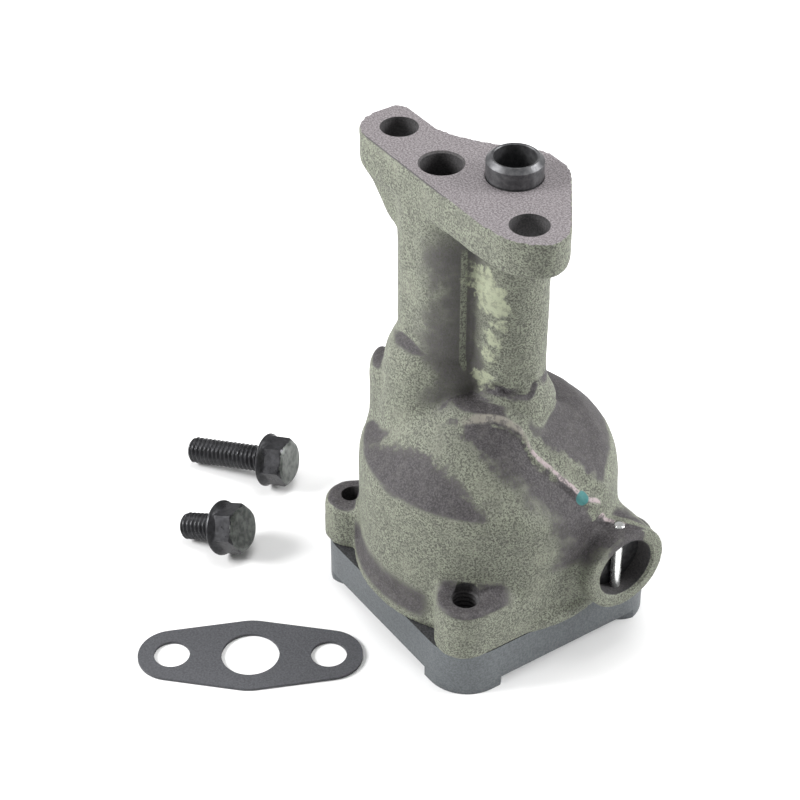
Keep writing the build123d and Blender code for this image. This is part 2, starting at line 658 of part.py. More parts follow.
with BuildPart() as relief_cap:
    with BuildSketch(across(SPRING_END_X)):
        Circle(RELIEF_BORE_R)
        Circle(1.6, mode=Mode.SUBTRACT)
    extrude(amount=CAP_THICKNESS)
relief_cap.part.label = "relief_cap"
export_step(relief_cap.part, "parts/relief_cap.step")

PIN_BOTTOM = RELIEF_HEIGHT - RELIEF_BOSS_R + 0.3
PIN_TOP = RELIEF_HEIGHT + RELIEF_BOSS_R + 0.1
with BuildPart() as retaining_pin:
    with BuildSketch(flat(PIN_X, RELIEF_Y, PIN_BOTTOM)):
        Circle(PIN_R)
    extrude(amount=PIN_TOP - PIN_BOTTOM)
    chamfer(retaining_pin.edges().filter_by(GeomType.CIRCLE), 0.2)
retaining_pin.part.label = "retaining_pin"
export_step(retaining_pin.part, "parts/retaining_pin.step")


# ================================================================ cover screws
def cover_screw(name, point):
    """Socket-head screw, sunk in the cover and screwed up into a lug."""
    with BuildPart() as screw:
        with BuildSketch(flat(*point, COVER_SCREW_SINK)):
            Circle(COVER_SCREW_HEAD_R)
        extrude(amount=-COVER_SCREW_HEAD)
        chamfer(screw.faces().sort_by(Axis.Z)[0].edges(), 0.4)
        with BuildSketch(flat(*point, COVER_SCREW_SINK)):
            Circle(COVER_SCREW_R)
        extrude(amount=COVER_SCREW_LENGTH)
        chamfer(screw.faces().sort_by(Axis.Z)[-1].edges(), 0.5)
        with BuildSketch(flat(*point, COVER_SCREW_SINK - COVER_SCREW_HEAD)):
            RegularPolygon(4.8 / 2, 6, major_radius=False)
        extrude(amount=3.2, mode=Mode.SUBTRACT)
    screw.part.label = name
    export_step(screw.part, "parts/" + name + ".step")
    return screw.part


cover_screw_left = cover_screw("cover_screw_left", screw_points[0])
cover_screw_back = cover_screw("cover_screw_back", screw_points[1])
cover_screw_right = cover_screw("cover_screw_right", screw_points[2])


# ================================================================ loose pickup hardware
# The gasket and the two bolts lie on the table beside the pump, ready to fit.
GASKET_X, GASKET_Y, GASKET_TURN = -15.2, -73.8, 55.8
LONG_TIP, LONG_TURN = (-98.3, -43.9), 32.8
SHORT_TIP, SHORT_TURN = (-68.9, -63.2), 29.5
gasket_plane = Plane(
    origin=(GASKET_X, GASKET_Y, level(0)),
    x_dir=(cos(radians(GASKET_TURN)), sin(radians(GASKET_TURN)), 0),
    z_dir=(0, 0, 1),
)
with BuildPart() as pickup_gasket:
    add(extrude(gasket_outline(gasket_plane), amount=GASKET_THICKNESS, mode=Mode.PRIVATE))
    with BuildSketch(gasket_plane):
        Circle(GASKET_INLET_HOLE_R)
        with GridLocations(PICKUP_SPACING, 0, 2, 1):
            Circle(GASKET_BOLT_HOLE_R)
    extrude(amount=GASKET_THICKNESS, mode=Mode.SUBTRACT)
pickup_gasket.part.label = "pickup_gasket"
export_step(pickup_gasket.part, "parts/pickup_gasket.step")


def pickup_bolt(name, tip, turn, length):
    """Flanged hex bolt lying on its flange edge and its tip, pointing away from its head."""
    lean = atan2(BOLT_FLANGE_R - PICKUP_BOLT_R, length)
    along = (cos(radians(turn)) * cos(lean), sin(radians(turn)) * cos(lean), sin(lean))
    side = (-sin(radians(turn)), cos(radians(turn)), 0)
    tip_height = PICKUP_BOLT_R * cos(lean)
    tip_plane = Plane(origin=(tip[0], tip[1], level(tip_height)), x_dir=side, z_dir=along)
    head_plane = tip_plane.offset(length)
    hex_plane = head_plane.offset(BOLT_FLANGE_EDGE)
    with BuildPart() as bolt:
        with BuildSketch(tip_plane):
            Circle(PICKUP_BOLT_R)
        extrude(amount=length)
        chamfer(bolt.faces().sort_by(Axis(tip_plane.origin, tip_plane.z_dir))[0].edges(), 0.8)
        with BuildSketch(head_plane):
            Circle(BOLT_FLANGE_R)
        extrude(amount=BOLT_FLANGE_EDGE)
        with BuildSketch(hex_plane):
            Circle(BOLT_FLANGE_R)
        with BuildSketch(hex_plane.offset(BOLT_FLANGE_CONE)):
            Circle(BOLT_FLATS / 2)
        loft()
        with BuildSketch(hex_plane):
            RegularPolygon(BOLT_FLATS / 2, 6, major_radius=False)
        extrude(amount=BOLT_HEX_HEIGHT - BOLT_FLANGE_EDGE)
    bolt.part.label = name
    export_step(bolt.part, "parts/" + name + ".step")
    return bolt.part


pickup_bolt_long = pickup_bolt("pickup_bolt_long", LONG_TIP, LONG_TURN, PICKUP_LONG)
pickup_bolt_short = pickup_bolt("pickup_bolt_short", SHORT_TIP, SHORT_TURN, PICKUP_SHORT)
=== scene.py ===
import math

import bmesh
import bpy
import numpy as np
from mathutils import Matrix, Vector


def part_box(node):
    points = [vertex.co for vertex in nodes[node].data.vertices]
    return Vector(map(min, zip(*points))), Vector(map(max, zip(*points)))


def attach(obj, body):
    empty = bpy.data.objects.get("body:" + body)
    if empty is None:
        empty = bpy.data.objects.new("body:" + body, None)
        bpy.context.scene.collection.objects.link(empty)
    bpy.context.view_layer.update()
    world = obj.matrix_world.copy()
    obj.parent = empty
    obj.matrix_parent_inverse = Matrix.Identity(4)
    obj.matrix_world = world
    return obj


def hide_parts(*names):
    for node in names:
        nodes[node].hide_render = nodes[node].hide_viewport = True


MM = 0.001
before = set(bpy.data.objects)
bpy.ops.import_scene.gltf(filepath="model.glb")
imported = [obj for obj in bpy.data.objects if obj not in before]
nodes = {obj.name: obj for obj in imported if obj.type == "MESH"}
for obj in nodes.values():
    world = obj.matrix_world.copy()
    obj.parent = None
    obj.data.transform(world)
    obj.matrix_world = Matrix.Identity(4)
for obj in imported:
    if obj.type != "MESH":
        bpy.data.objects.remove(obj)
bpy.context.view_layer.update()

# ---------------------------------------------------------------- sizes read from the frame
FLOOR_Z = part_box("cover")[0][2]
PUMP_HEIGHT = -FLOOR_Z


def level(height):
    """Z in metres of a height in mm above the feet."""
    return height * MM - PUMP_HEIGHT


# ---------------------------------------------------------------- mesh helpers
def put(name, mesh):
    obj = bpy.data.objects.new(name, mesh)
    bpy.context.scene.collection.objects.link(obj)
    return obj


def drop(obj):
    mesh = obj.data
    bpy.data.objects.remove(obj)
    bpy.data.meshes.remove(mesh)


def applied(obj):
    """Swaps the object's mesh for the one its modifiers give, and removes them."""
    graph = bpy.context.evaluated_depsgraph_get()
    mesh = bpy.data.meshes.new_from_object(obj.evaluated_get(graph))
    old = obj.data
    obj.modifiers.clear()
    obj.data = mesh
    bpy.data.meshes.remove(old)
    return obj


def rod(name, start, end, radius, end_radius=None, steps=96):
    """Round cutter or plug between two points in mm (x, y, height above the feet)."""
    a = Vector((start[0] * MM, start[1] * MM, level(start[2])))
    b = Vector((end[0] * MM, end[1] * MM, level(end[2])))
    bm = bmesh.new()
    turn = (b - a).to_track_quat("Z", "Y").to_matrix().to_4x4()
    bmesh.ops.create_cone(
        bm, cap_ends=True, segments=steps, radius1=radius * MM,
        radius2=(radius if end_radius is None else end_radius) * MM, depth=(b - a).length,
        matrix=Matrix.Translation((a + b) / 2) @ turn,
    )
    mesh = bpy.data.meshes.new(name)
    bm.to_mesh(mesh)
    bm.free()
    return put(name, mesh)


def prism(name, outline, low, high):
    """Straight-sided cutter over an outline in mm, between two heights above the feet."""
    bm = bmesh.new()
    floor = bm.faces.new([bm.verts.new((x * MM, y * MM, level(low))) for x, y in outline])
    wall = bmesh.ops.extrude_face_region(bm, geom=[floor])
    rise = Vector((0, 0, (high - low) * MM))
    bmesh.ops.translate(bm, vec=rise, verts=[v for v in wall["geom"] if isinstance(v, bmesh.types.BMVert)])
    bmesh.ops.recalc_face_normals(bm, faces=bm.faces)
    mesh = bpy.data.meshes.new(name)
    bm.to_mesh(mesh)
    bm.free()
    return put(name, mesh)


def arc_slot(centre, radius, width, start, end, steps=40):
    """Outline of a kidney-shaped slot about a centre, round at both ends. Angles in degrees."""
    points = []
    for i in range(steps + 1):
        a = math.radians(start + (end - start) * i / steps)
        r = radius + width / 2
        points.append((centre[0] + r * math.cos(a), centre[1] + r * math.sin(a)))
    for tip, turn in ((end, 0), (start, 180)):
        a = math.radians(tip)
        c = (centre[0] + radius * math.cos(a), centre[1] + radius * math.sin(a))
        for i in range(1, 12):
            b = a + math.radians(turn + 180 * i / 12)
            points.append((c[0] + width / 2 * math.cos(b), c[1] + width / 2 * math.sin(b)))
        if tip == end:
            for i in range(steps + 1):
                b = math.radians(end + (start - end) * i / steps)
                r = radius - width / 2
                points.append((centre[0] + r * math.cos(b), centre[1] + r * math.sin(b)))
    return points


def turned(name, heights, reach, place=None, around=72):
    """Closed body along z. Heights in mm, and reach(height, angle) gives its radius."""
    place = place or Matrix()
    spin = [2 * math.pi * j / around for j in range(around)]
    verts = [
        place @ Vector((reach(h, a) * math.cos(a) * MM, reach(h, a) * math.sin(a) * MM, h * MM))
        for h in heights for a in spin
    ]
    faces = [tuple(reversed(range(around)))]
    for k in range(len(heights) - 1):
        low, high = k * around, (k + 1) * around
        for j in range(around):
            i = (j + 1) % around
            faces.append((low + j, low + i, high + i, high + j))
    faces.append(tuple(range(len(heights) * around - around, len(heights) * around)))
    mesh = bpy.data.meshes.new(name)
    mesh.from_pydata(verts, [], faces)
    return put(name, mesh)


PITCH = 25.4 / 18                       # 18 turns to the inch
THREAD_FLAT, THREAD_FLANK = 0.12, 0.76   # shares of half a turn


def thread(height, angle, core, crest):
    """Radius of a right-hand thread at a height and an angle."""
    lap = (height / PITCH - angle / (2 * math.pi)) % 1
    flank = min(max((abs(2 * lap - 1) - THREAD_FLAT) / THREAD_FLANK, 0), 1)
    return core + (crest - core) * flank


def fused(name, objs):
    """One mesh from several overlapping objects, which are then removed."""
    bm = bmesh.new()
    for obj in objs:
        bm.from_mesh(obj.data)
    for obj in objs:
        drop(obj)
    mesh = bpy.data.meshes.new(name)
    bm.to_mesh(mesh)
    bm.free()
    return put(name, mesh)


def cut(obj, cutters):
    """Machines the cutters out of the object, exactly."""
    for cutter in cutters:
        step = obj.modifiers.new("cut", "BOOLEAN")
        step.operation = "DIFFERENCE"
        step.solver = "MANIFOLD"
        step.object = cutter
    applied(obj)
    for cutter in cutters:
        drop(cutter)


def near(value, low, high):
    """0 below low, 1 above high, smooth between. Takes numbers and arrays."""
    t = np.clip((value - low) / (high - low), 0, 1)
    return t * t * (3 - 2 * t)


def crease(obj, degrees):
    """Smooth shading, with the edges sharper than this angle kept sharp."""
    bm = bmesh.new()
    bm.from_mesh(obj.data)
    limit = math.radians(degrees)
    for face in bm.faces:
        face.smooth = True
    for edge in bm.edges:
        edge.smooth = len(edge.link_faces) == 2 and edge.calc_face_angle(0) < limit
    bm.to_mesh(obj.data)
    bm.free()


def points(mesh):
    """Vertex positions in mm (x, y, height above the feet)."""
    flat = np.empty(len(mesh.vertices) * 3)
    mesh.vertices.foreach_get("co", flat)
    spots = flat.reshape(-1, 3) / MM
    spots[:, 2] += PUMP_HEIGHT / MM
    return spots


def set_points(mesh, spots):
    spots = spots.copy()
    spots[:, 2] -= PUMP_HEIGHT / MM
    mesh.vertices.foreach_set("co", (spots * MM).ravel())
    mesh.update()


def normals(mesh):
    flat = np.empty(len(mesh.vertices) * 3)
    mesh.vertex_normals.foreach_get("vector", flat)
    return flat.reshape(-1, 3)


def soften(obj, weight, rounds):
    """Smooths the mesh where weight is above 0."""
    group = obj.vertex_groups.new(name="soft")
    for i in np.nonzero(weight > 0.001)[0]:
        group.add([int(i)], float(weight[i]), "REPLACE")
    step = obj.modifiers.new("soften", "SMOOTH")
    step.factor = 0.5
    step.iterations = rounds
    step.vertex_group = "soft"
    applied(obj)
    obj.vertex_groups.clear()


# ---------------------------------------------------------------- casting
BODY = (-2.6, -3.3)
LUG_OFFSET = 27.0
LUG_TOP = 27.6
LUG_SIDES = ((-1, -1), (-1, 1), (1, 1), (1, -1))
LUGS = [(BODY[0] + sx * LUG_OFFSET, BODY[1] + sy * LUG_OFFSET) for sx, sy in LUG_SIDES]
OUTLET = (-15.1, -11.5)
BOLT_HOLES = [(-7.85 - 27.75, -10.3), (-7.85 + 27.75, -10.3)]
RELIEF = (12.9, 28.5)
RELIEF_R = 8.7
RELIEF_MOUTH = 39.0
RELIEF_END = 20.0
PIN_X = 34.5
ROTOR = (-1.671, -2.121)
POCKET_TOP = 36.58
TOP = 137.0
RIB_X = -3.85

POCKET_R = 21.05
DRIVE_R = 6.39
SEAT_R = 7.052
OUTLET_R = 5.5
BOLT_HOLE_R = 5.0
SCREW_HOLE_R = 3.2
PIN_HOLE_R = 1.452
TAP_CORE_R, TAP_CREST_R = 3.45, 3.97     # thread of the front lug's hole
PAINT_DOT, PAINT_DOT_R = (28.9, 3.9, 50.8), 1.8

LUG_RISE = 2.6                      # the front lug stands this much higher than the others
DISH_DEPTH = 1.2                    # and is hollow round its hole
FOLD_HEIGHT = 77.6                  # cold fold at the drive column's foot
FOLD_LEDGE, FOLD_GROOVE = 0.75, 0.8
RIDGE_RISE, RIDGE_WAVE = 0.62, 0.2
RIDGE_AT = (29.3, 6.7)              # a point of the ridge, and its direction in plan
RIDGE_TURN = (0.670, 0.742)
BEND_SPAN = (-20, -15, -2, 4)       # where the ridge bends out and back, along itself
BEND_OUT, BEND_BACK = 2.4, 0.9

# Grain of the sand-cast skin: its size in m and its depth in mm
GRAIN = ((0.011, 0.30), (0.0032, 0.22))

VOXEL = 0.62 * MM


def raw_casting():
    """The housing with its machined holes plugged, softened as a sand casting is."""
    # Each plug is wider than the hole it fills; machine() cuts the holes again
    plugs = [put("core", nodes["housing"].data.copy())]
    plugs.append(rod("plug", (0, 0, 120), (0, 0, TOP), 8.0))
    plugs.append(rod("plug", (*OUTLET, 110), (*OUTLET, TOP), 6.4))
    for hole in BOLT_HOLES:
        plugs.append(rod("plug", (*hole, TOP - 10.5), (*hole, TOP), 5.3))
    plugs.append(rod("plug", (-33.6, -10.3, 117), (-28.5, -10.3, 127), 4.6))
    plugs.append(rod("plug", (RELIEF_END, *RELIEF), (RELIEF_MOUTH, *RELIEF), 10.2))
    plugs.append(rod("plug", (PIN_X, RELIEF[0], 17), (PIN_X, RELIEF[0], 41.0), 2.0))
    for lug in LUGS:
        plugs.append(rod("plug", (*lug, 14.5), (*lug, LUG_TOP), 4.2))
    plugs.append(rod("plug", (*ROTOR, 14.5), (*ROTOR, 30), 23.0))
    casting = fused("casting", plugs)
    step = casting.modifiers.new("skin_and_painted_shade", "REMESH")
    step.mode = "VOXEL"
    step.voxel_size = VOXEL
    applied(casting)
    spots = points(casting.data)
    x, y, h = spots.T
    keep = near(h, TOP - 3.0, TOP - 0.8)
    keep = np.maximum(keep, 1 - near(h, 14.6, 16.5))
    keep = np.maximum(keep, near(x, RELIEF_MOUTH - 1.6, RELIEF_MOUTH - 0.4))
    rib = (1 - near(abs(x - RIB_X), 1.6, 3.0)) * (1 - near(y, -10.8, -9.6)) * near(h, 69, 74)
    keep = np.maximum(keep, 0.85 * rib)
    soften(casting, 1 - keep, 30)
    # The bowl's shoulder and the facets' edges are rounder than the rest
    x, y, h = points(casting.data).T
    round_off = near(h, 34, 42) * (1 - near(h, 66, 74)) * (1 - near(x, 31, 36))
    lug = near(h, 19, 24) * (1 - near(h, 29, 33)) * (1 - near(x, 22, 30) * near(y, -4, 4))
    soften(casting, np.maximum(round_off, 0.7 * lug), 90)
    x, y, h = points(casting.data).T
    keep = near(h, TOP - 2.0, TOP - 0.8)
    keep = np.maximum(keep, 1 - near(h, 14.6, 15.6))
    keep = np.maximum(keep, near(x, RELIEF_MOUTH - 1.0, RELIEF_MOUTH - 0.4))
    ridge(casting)
    dish(casting)
    fold(casting)
    sand(casting, 1 - keep)
    return casting


def dish(casting):
    """The front lug stands a little higher than the others, hollow round the pickup bolt's hole."""
    mesh = casting.data
    spots, out = points(mesh), normals(mesh)
    x, y, h = spots.T
    away = np.hypot(x - LUGS[3][0], y - LUGS[3][1])
    spots[:, 2] += LUG_RISE * (1 - near(away, 10, 15)) * near(h, 19, 26) * (1 - near(h, 29, 38))
    spots[:, 2] -= DISH_DEPTH * (1 - near(away, 2.5, 8.0)) * near(out[:, 2], 0.4, 0.8) * near(h, 24, 26)
    set_points(mesh, spots)


def fold(casting):
    """Cold fold round the foot of the drive column, with a lumpy ledge over it."""
    mesh = casting.data
    spots, out = points(mesh), normals(mesh)
    x, y, h = spots.T
    angle = np.degrees(np.arctan2(y, x))
    reach = near(angle, -66, -52) * (1 - near(angle, 4, 18)) * (1 - near(np.hypot(x, y), 14, 16))
    line = FOLD_HEIGHT + 0.9 * np.sin(np.radians(angle * 5)) + 0.4 * np.sin(np.radians(angle * 13))
    groove = np.exp(-(((h - line) / 0.75) ** 2))
    lump = 0.7 + 0.3 * np.sin(np.radians(angle * 11)) * np.sin(np.radians(angle * 7 + 40))
    ledge = np.exp(-(((h - line - 2.2) / 1.1) ** 2)) * lump
    set_points(mesh, spots + out * (reach * (FOLD_LEDGE * ledge - FOLD_GROOVE * groove))[:, None])


def ridge(casting):
    """Flash line down the near facet, on the parting of the casting."""
    mesh = casting.data
    spots, out = points(mesh), normals(mesh)
    x, y, h = spots.T
    across = (x - RIDGE_AT[0]) * RIDGE_TURN[1] - (y - RIDGE_AT[1]) * RIDGE_TURN[0]
    along = (x - RIDGE_AT[0]) * RIDGE_TURN[0] + (y - RIDGE_AT[1]) * RIDGE_TURN[1]
    top = (h > 36) & (h < 80) & (x > 3) & (out[:, 2] > 0.2)
    bend = BEND_OUT * near(along, *BEND_SPAN[:2]) * (1 - near(along, *BEND_SPAN[2:])) - BEND_BACK
    crest = (1 - near(abs(across - bend), 0.4, 1.6)) * near(along, -30, -26) * (1 - near(along, 7.5, 9.5))
    rise = crest * (RIDGE_RISE + RIDGE_WAVE * np.sin(along * 2.1) * np.sin(along * 0.9))
    lift = np.where(top, rise, 0)
    set_points(mesh, spots + out * lift[:, None])


def sand(casting, weight):
    """Rough sand-cast skin, coarse and fine."""
    for size, depth in GRAIN:
        grain = bpy.data.textures.new("sand", "CLOUDS")
        grain.noise_scale = size
        grain.noise_depth = 2
        group = casting.vertex_groups.new(name="rough")
        for i in np.nonzero(weight > 0.001)[0]:
            group.add([int(i)], float(weight[i]), "REPLACE")
        step = casting.modifiers.new("sand", "DISPLACE")
        step.texture = grain
        step.texture_coords = "LOCAL"
        step.strength = depth * MM
        step.mid_level = 0.5
        step.vertex_group = "rough"
        applied(casting)
        casting.vertex_groups.clear()


def machine(casting):
    """Re-cuts every machined hole and face of the housing."""
    cutters = [
        rod("pocket", (*ROTOR, 14.0), (*ROTOR, POCKET_TOP), POCKET_R, steps=160),
        rod("drive_bore", (0, 0, 30), (0, 0, 130), DRIVE_R),
        rod("sleeve_seat", (0, 0, 125), (0, 0, 138), SEAT_R),
        rod("seat_mouth", (0, 0, TOP - 0.65), (0, 0, TOP + 0.1), 6.85, 7.6),
        rod("outlet_bore", (*OUTLET, 38.6), (*OUTLET, 138), OUTLET_R),
        rod("outlet_mouth", (*OUTLET, TOP - 0.7), (*OUTLET, TOP + 0.3), 5.3, 6.3),
        prism("discharge", arc_slot(ROTOR, 14.5, 8, 108, 200), POCKET_TOP - 0.2, POCKET_TOP + 8),
        rod("relief_bore", (RELIEF_END, *RELIEF), (RELIEF_MOUTH + 1, *RELIEF), RELIEF_R),
        rod("relief_mouth", (RELIEF_MOUTH - 1.0, *RELIEF), (RELIEF_MOUTH + 0.2, *RELIEF),
            RELIEF_R - 0.2, 9.7),
        rod("pin_hole", (PIN_X, RELIEF[0], 10), (PIN_X, RELIEF[0], 46), PIN_HOLE_R, steps=40),
    ]
    for hole in BOLT_HOLES:
        cutters.append(rod("bolt_hole", (*hole, 112), (*hole, 138), BOLT_HOLE_R))
    for lug in LUGS[:3]:
        cutters.append(rod("screw_hole", (*lug, 14), (*lug, LUG_TOP + 1), SCREW_HOLE_R, steps=64))
    rings = [14 + (LUG_TOP - 13) * k / 130 for k in range(131)]
    spot = Matrix.Translation((LUGS[3][0] * MM, LUGS[3][1] * MM, level(0)))
    cutters.append(turned("pickup_hole", rings + [LUG_TOP + 5],
                          lambda h, a: thread(h, a, TAP_CORE_R, TAP_CREST_R), spot))
    cut(casting, cutters)


# ---------------------------------------------------------------- materials
class Paint:
    """A node material with a few short-hands."""

    def __init__(self, name):
        self.mat = bpy.data.materials.new(name)
        self.mat.use_nodes = True
        self.tree = self.mat.node_tree
        self.shader = next(n for n in self.tree.nodes if n.type == "BSDF_PRINCIPLED")
        self.where = self.add("ShaderNodeTexCoord").outputs["Object"]

    def add(self, kind, **values):
        node = self.tree.nodes.new(kind)
        for key, value in values.items():
            setattr(node, key, value)
        return node

    def join(self, source, socket):
        if isinstance(source, (int, float)):
            socket.default_value = source
        elif isinstance(source, tuple):
            socket.default_value = (*source, 1) if len(source) == 3 else source
        else:
            self.tree.links.new(source, socket)

    def noise(self, scale, detail=4, rough=0.6):
        node = self.add("ShaderNodeTexNoise")
        self.join(self.where, node.inputs["Vector"])
        node.inputs["Scale"].default_value = scale
        node.inputs["Detail"].default_value = detail
        node.inputs["Roughness"].default_value = rough
        return node.outputs["Fac"]

    def ramp(self, value, low, high, start=0.0, end=1.0):
        """Smooth step of a value from low to high, giving start to end."""
        node = self.add("ShaderNodeMapRange", interpolation_type="SMOOTHSTEP")
        self.join(value, node.inputs["Value"])
        for key, number in (("From Min", low), ("From Max", high), ("To Min", start), ("To Max", end)):
            node.inputs[key].default_value = number
        return node.outputs["Result"]

    def math(self, kind, a, b=0.0):
        node = self.add("ShaderNodeMath", operation=kind)
        self.join(a, node.inputs[0])
        self.join(b, node.inputs[1])
        return node.outputs[0]

    def mix(self, fac, a, b):
        node = self.add("ShaderNodeMix", data_type="RGBA")
        self.join(fac, node.inputs["Factor"])
        self.join(a, node.inputs["A"])
        self.join(b, node.inputs["B"])
        return node.outputs["Result"]

    def axis(self, vector, letter):
        node = self.add("ShaderNodeSeparateXYZ")
        self.join(vector, node.inputs[0])
        return node.outputs[letter]

    def up(self):
        """Z of the surface normal."""
        return self.axis(self.add("ShaderNodeNewGeometry").outputs["Normal"], "Z")

    def line(self, direction, offset):
        """Distance in mm of a place from a plane; direction is in x, y and height."""
        node = self.add("ShaderNodeVectorMath", operation="DOT_PRODUCT")
        self.join(self.where, node.inputs[0])
        node.inputs[1].default_value = Vector(direction) / MM
        return self.math("SUBTRACT", node.outputs["Value"], offset - direction[2] * PUMP_HEIGHT / MM)

    def reach(self, place, flat=False):
        """Distance in mm from a place (x, y, height), or from its upright axis."""
        shape = self.add("ShaderNodeVectorMath", operation="MULTIPLY_ADD")
        self.join(self.where, shape.inputs[0])
        shape.inputs[1].default_value = (1 / MM, 1 / MM, 0 if flat else 1 / MM)
        shape.inputs[2].default_value = (-place[0], -place[1], 0 if flat else PUMP_HEIGHT / MM - place[2])
        node = self.add("ShaderNodeVectorMath", operation="LENGTH")
        self.join(shape.outputs["Vector"], node.inputs[0])
        return node.outputs["Value"]

    def band(self, value, a, b, c, d):
        """Rises from a to b and falls from c to d."""
        return self.math("MULTIPLY", self.ramp(value, a, b), self.ramp(value, c, d, 1, 0))

    def all(self, *values):
        total = values[0]
        for value in values[1:]:
            total = self.math("MULTIPLY", total, value)
        return total

    def most(self, *values):
        total = values[0]
        for value in values[1:]:
            total = self.math("MAXIMUM", total, value)
        return total

    def bump(self, height, distance, strength=1.0):
        node = self.add("ShaderNodeBump")
        self.join(height, node.inputs["Height"])
        node.inputs["Distance"].default_value = distance
        node.inputs["Strength"].default_value = strength
        return node.outputs["Normal"]

    def end(self, colour, roughness, metallic, normal=None):
        self.join(colour, self.shader.inputs["Base Color"])
        self.join(roughness, self.shader.inputs["Roughness"])
        self.join(metallic, self.shader.inputs["Metallic"])
        if normal is not None:
            self.join(normal, self.shader.inputs["Normal"])
        return self.mat


# Pale residue on the drive column: places and how far each spreads, in mm
RESIDUE = (
    ((1.6, -10.1, 110), 4.6), ((3.6, -9.6, 105.5), 5.0), ((5.8, -8.4, 107.5), 2.6), ((6.6, -7.8, 103), 2.4),
    ((6.2, -8.1, 98), 2.2), ((5.0, -8.9, 93.5), 2.3), ((3.8, -9.5, 88), 2.6), ((2.4, -10.2, 80), 3.0),
)
FLASH_COLOUR = (0.34, 0.285, 0.29)
WORN_COLOUR = (0.25, 0.235, 0.20)
RESIDUE_COLOUR = (0.33, 0.355, 0.25)
DOT_COLOUR = (0.036, 0.155, 0.153)


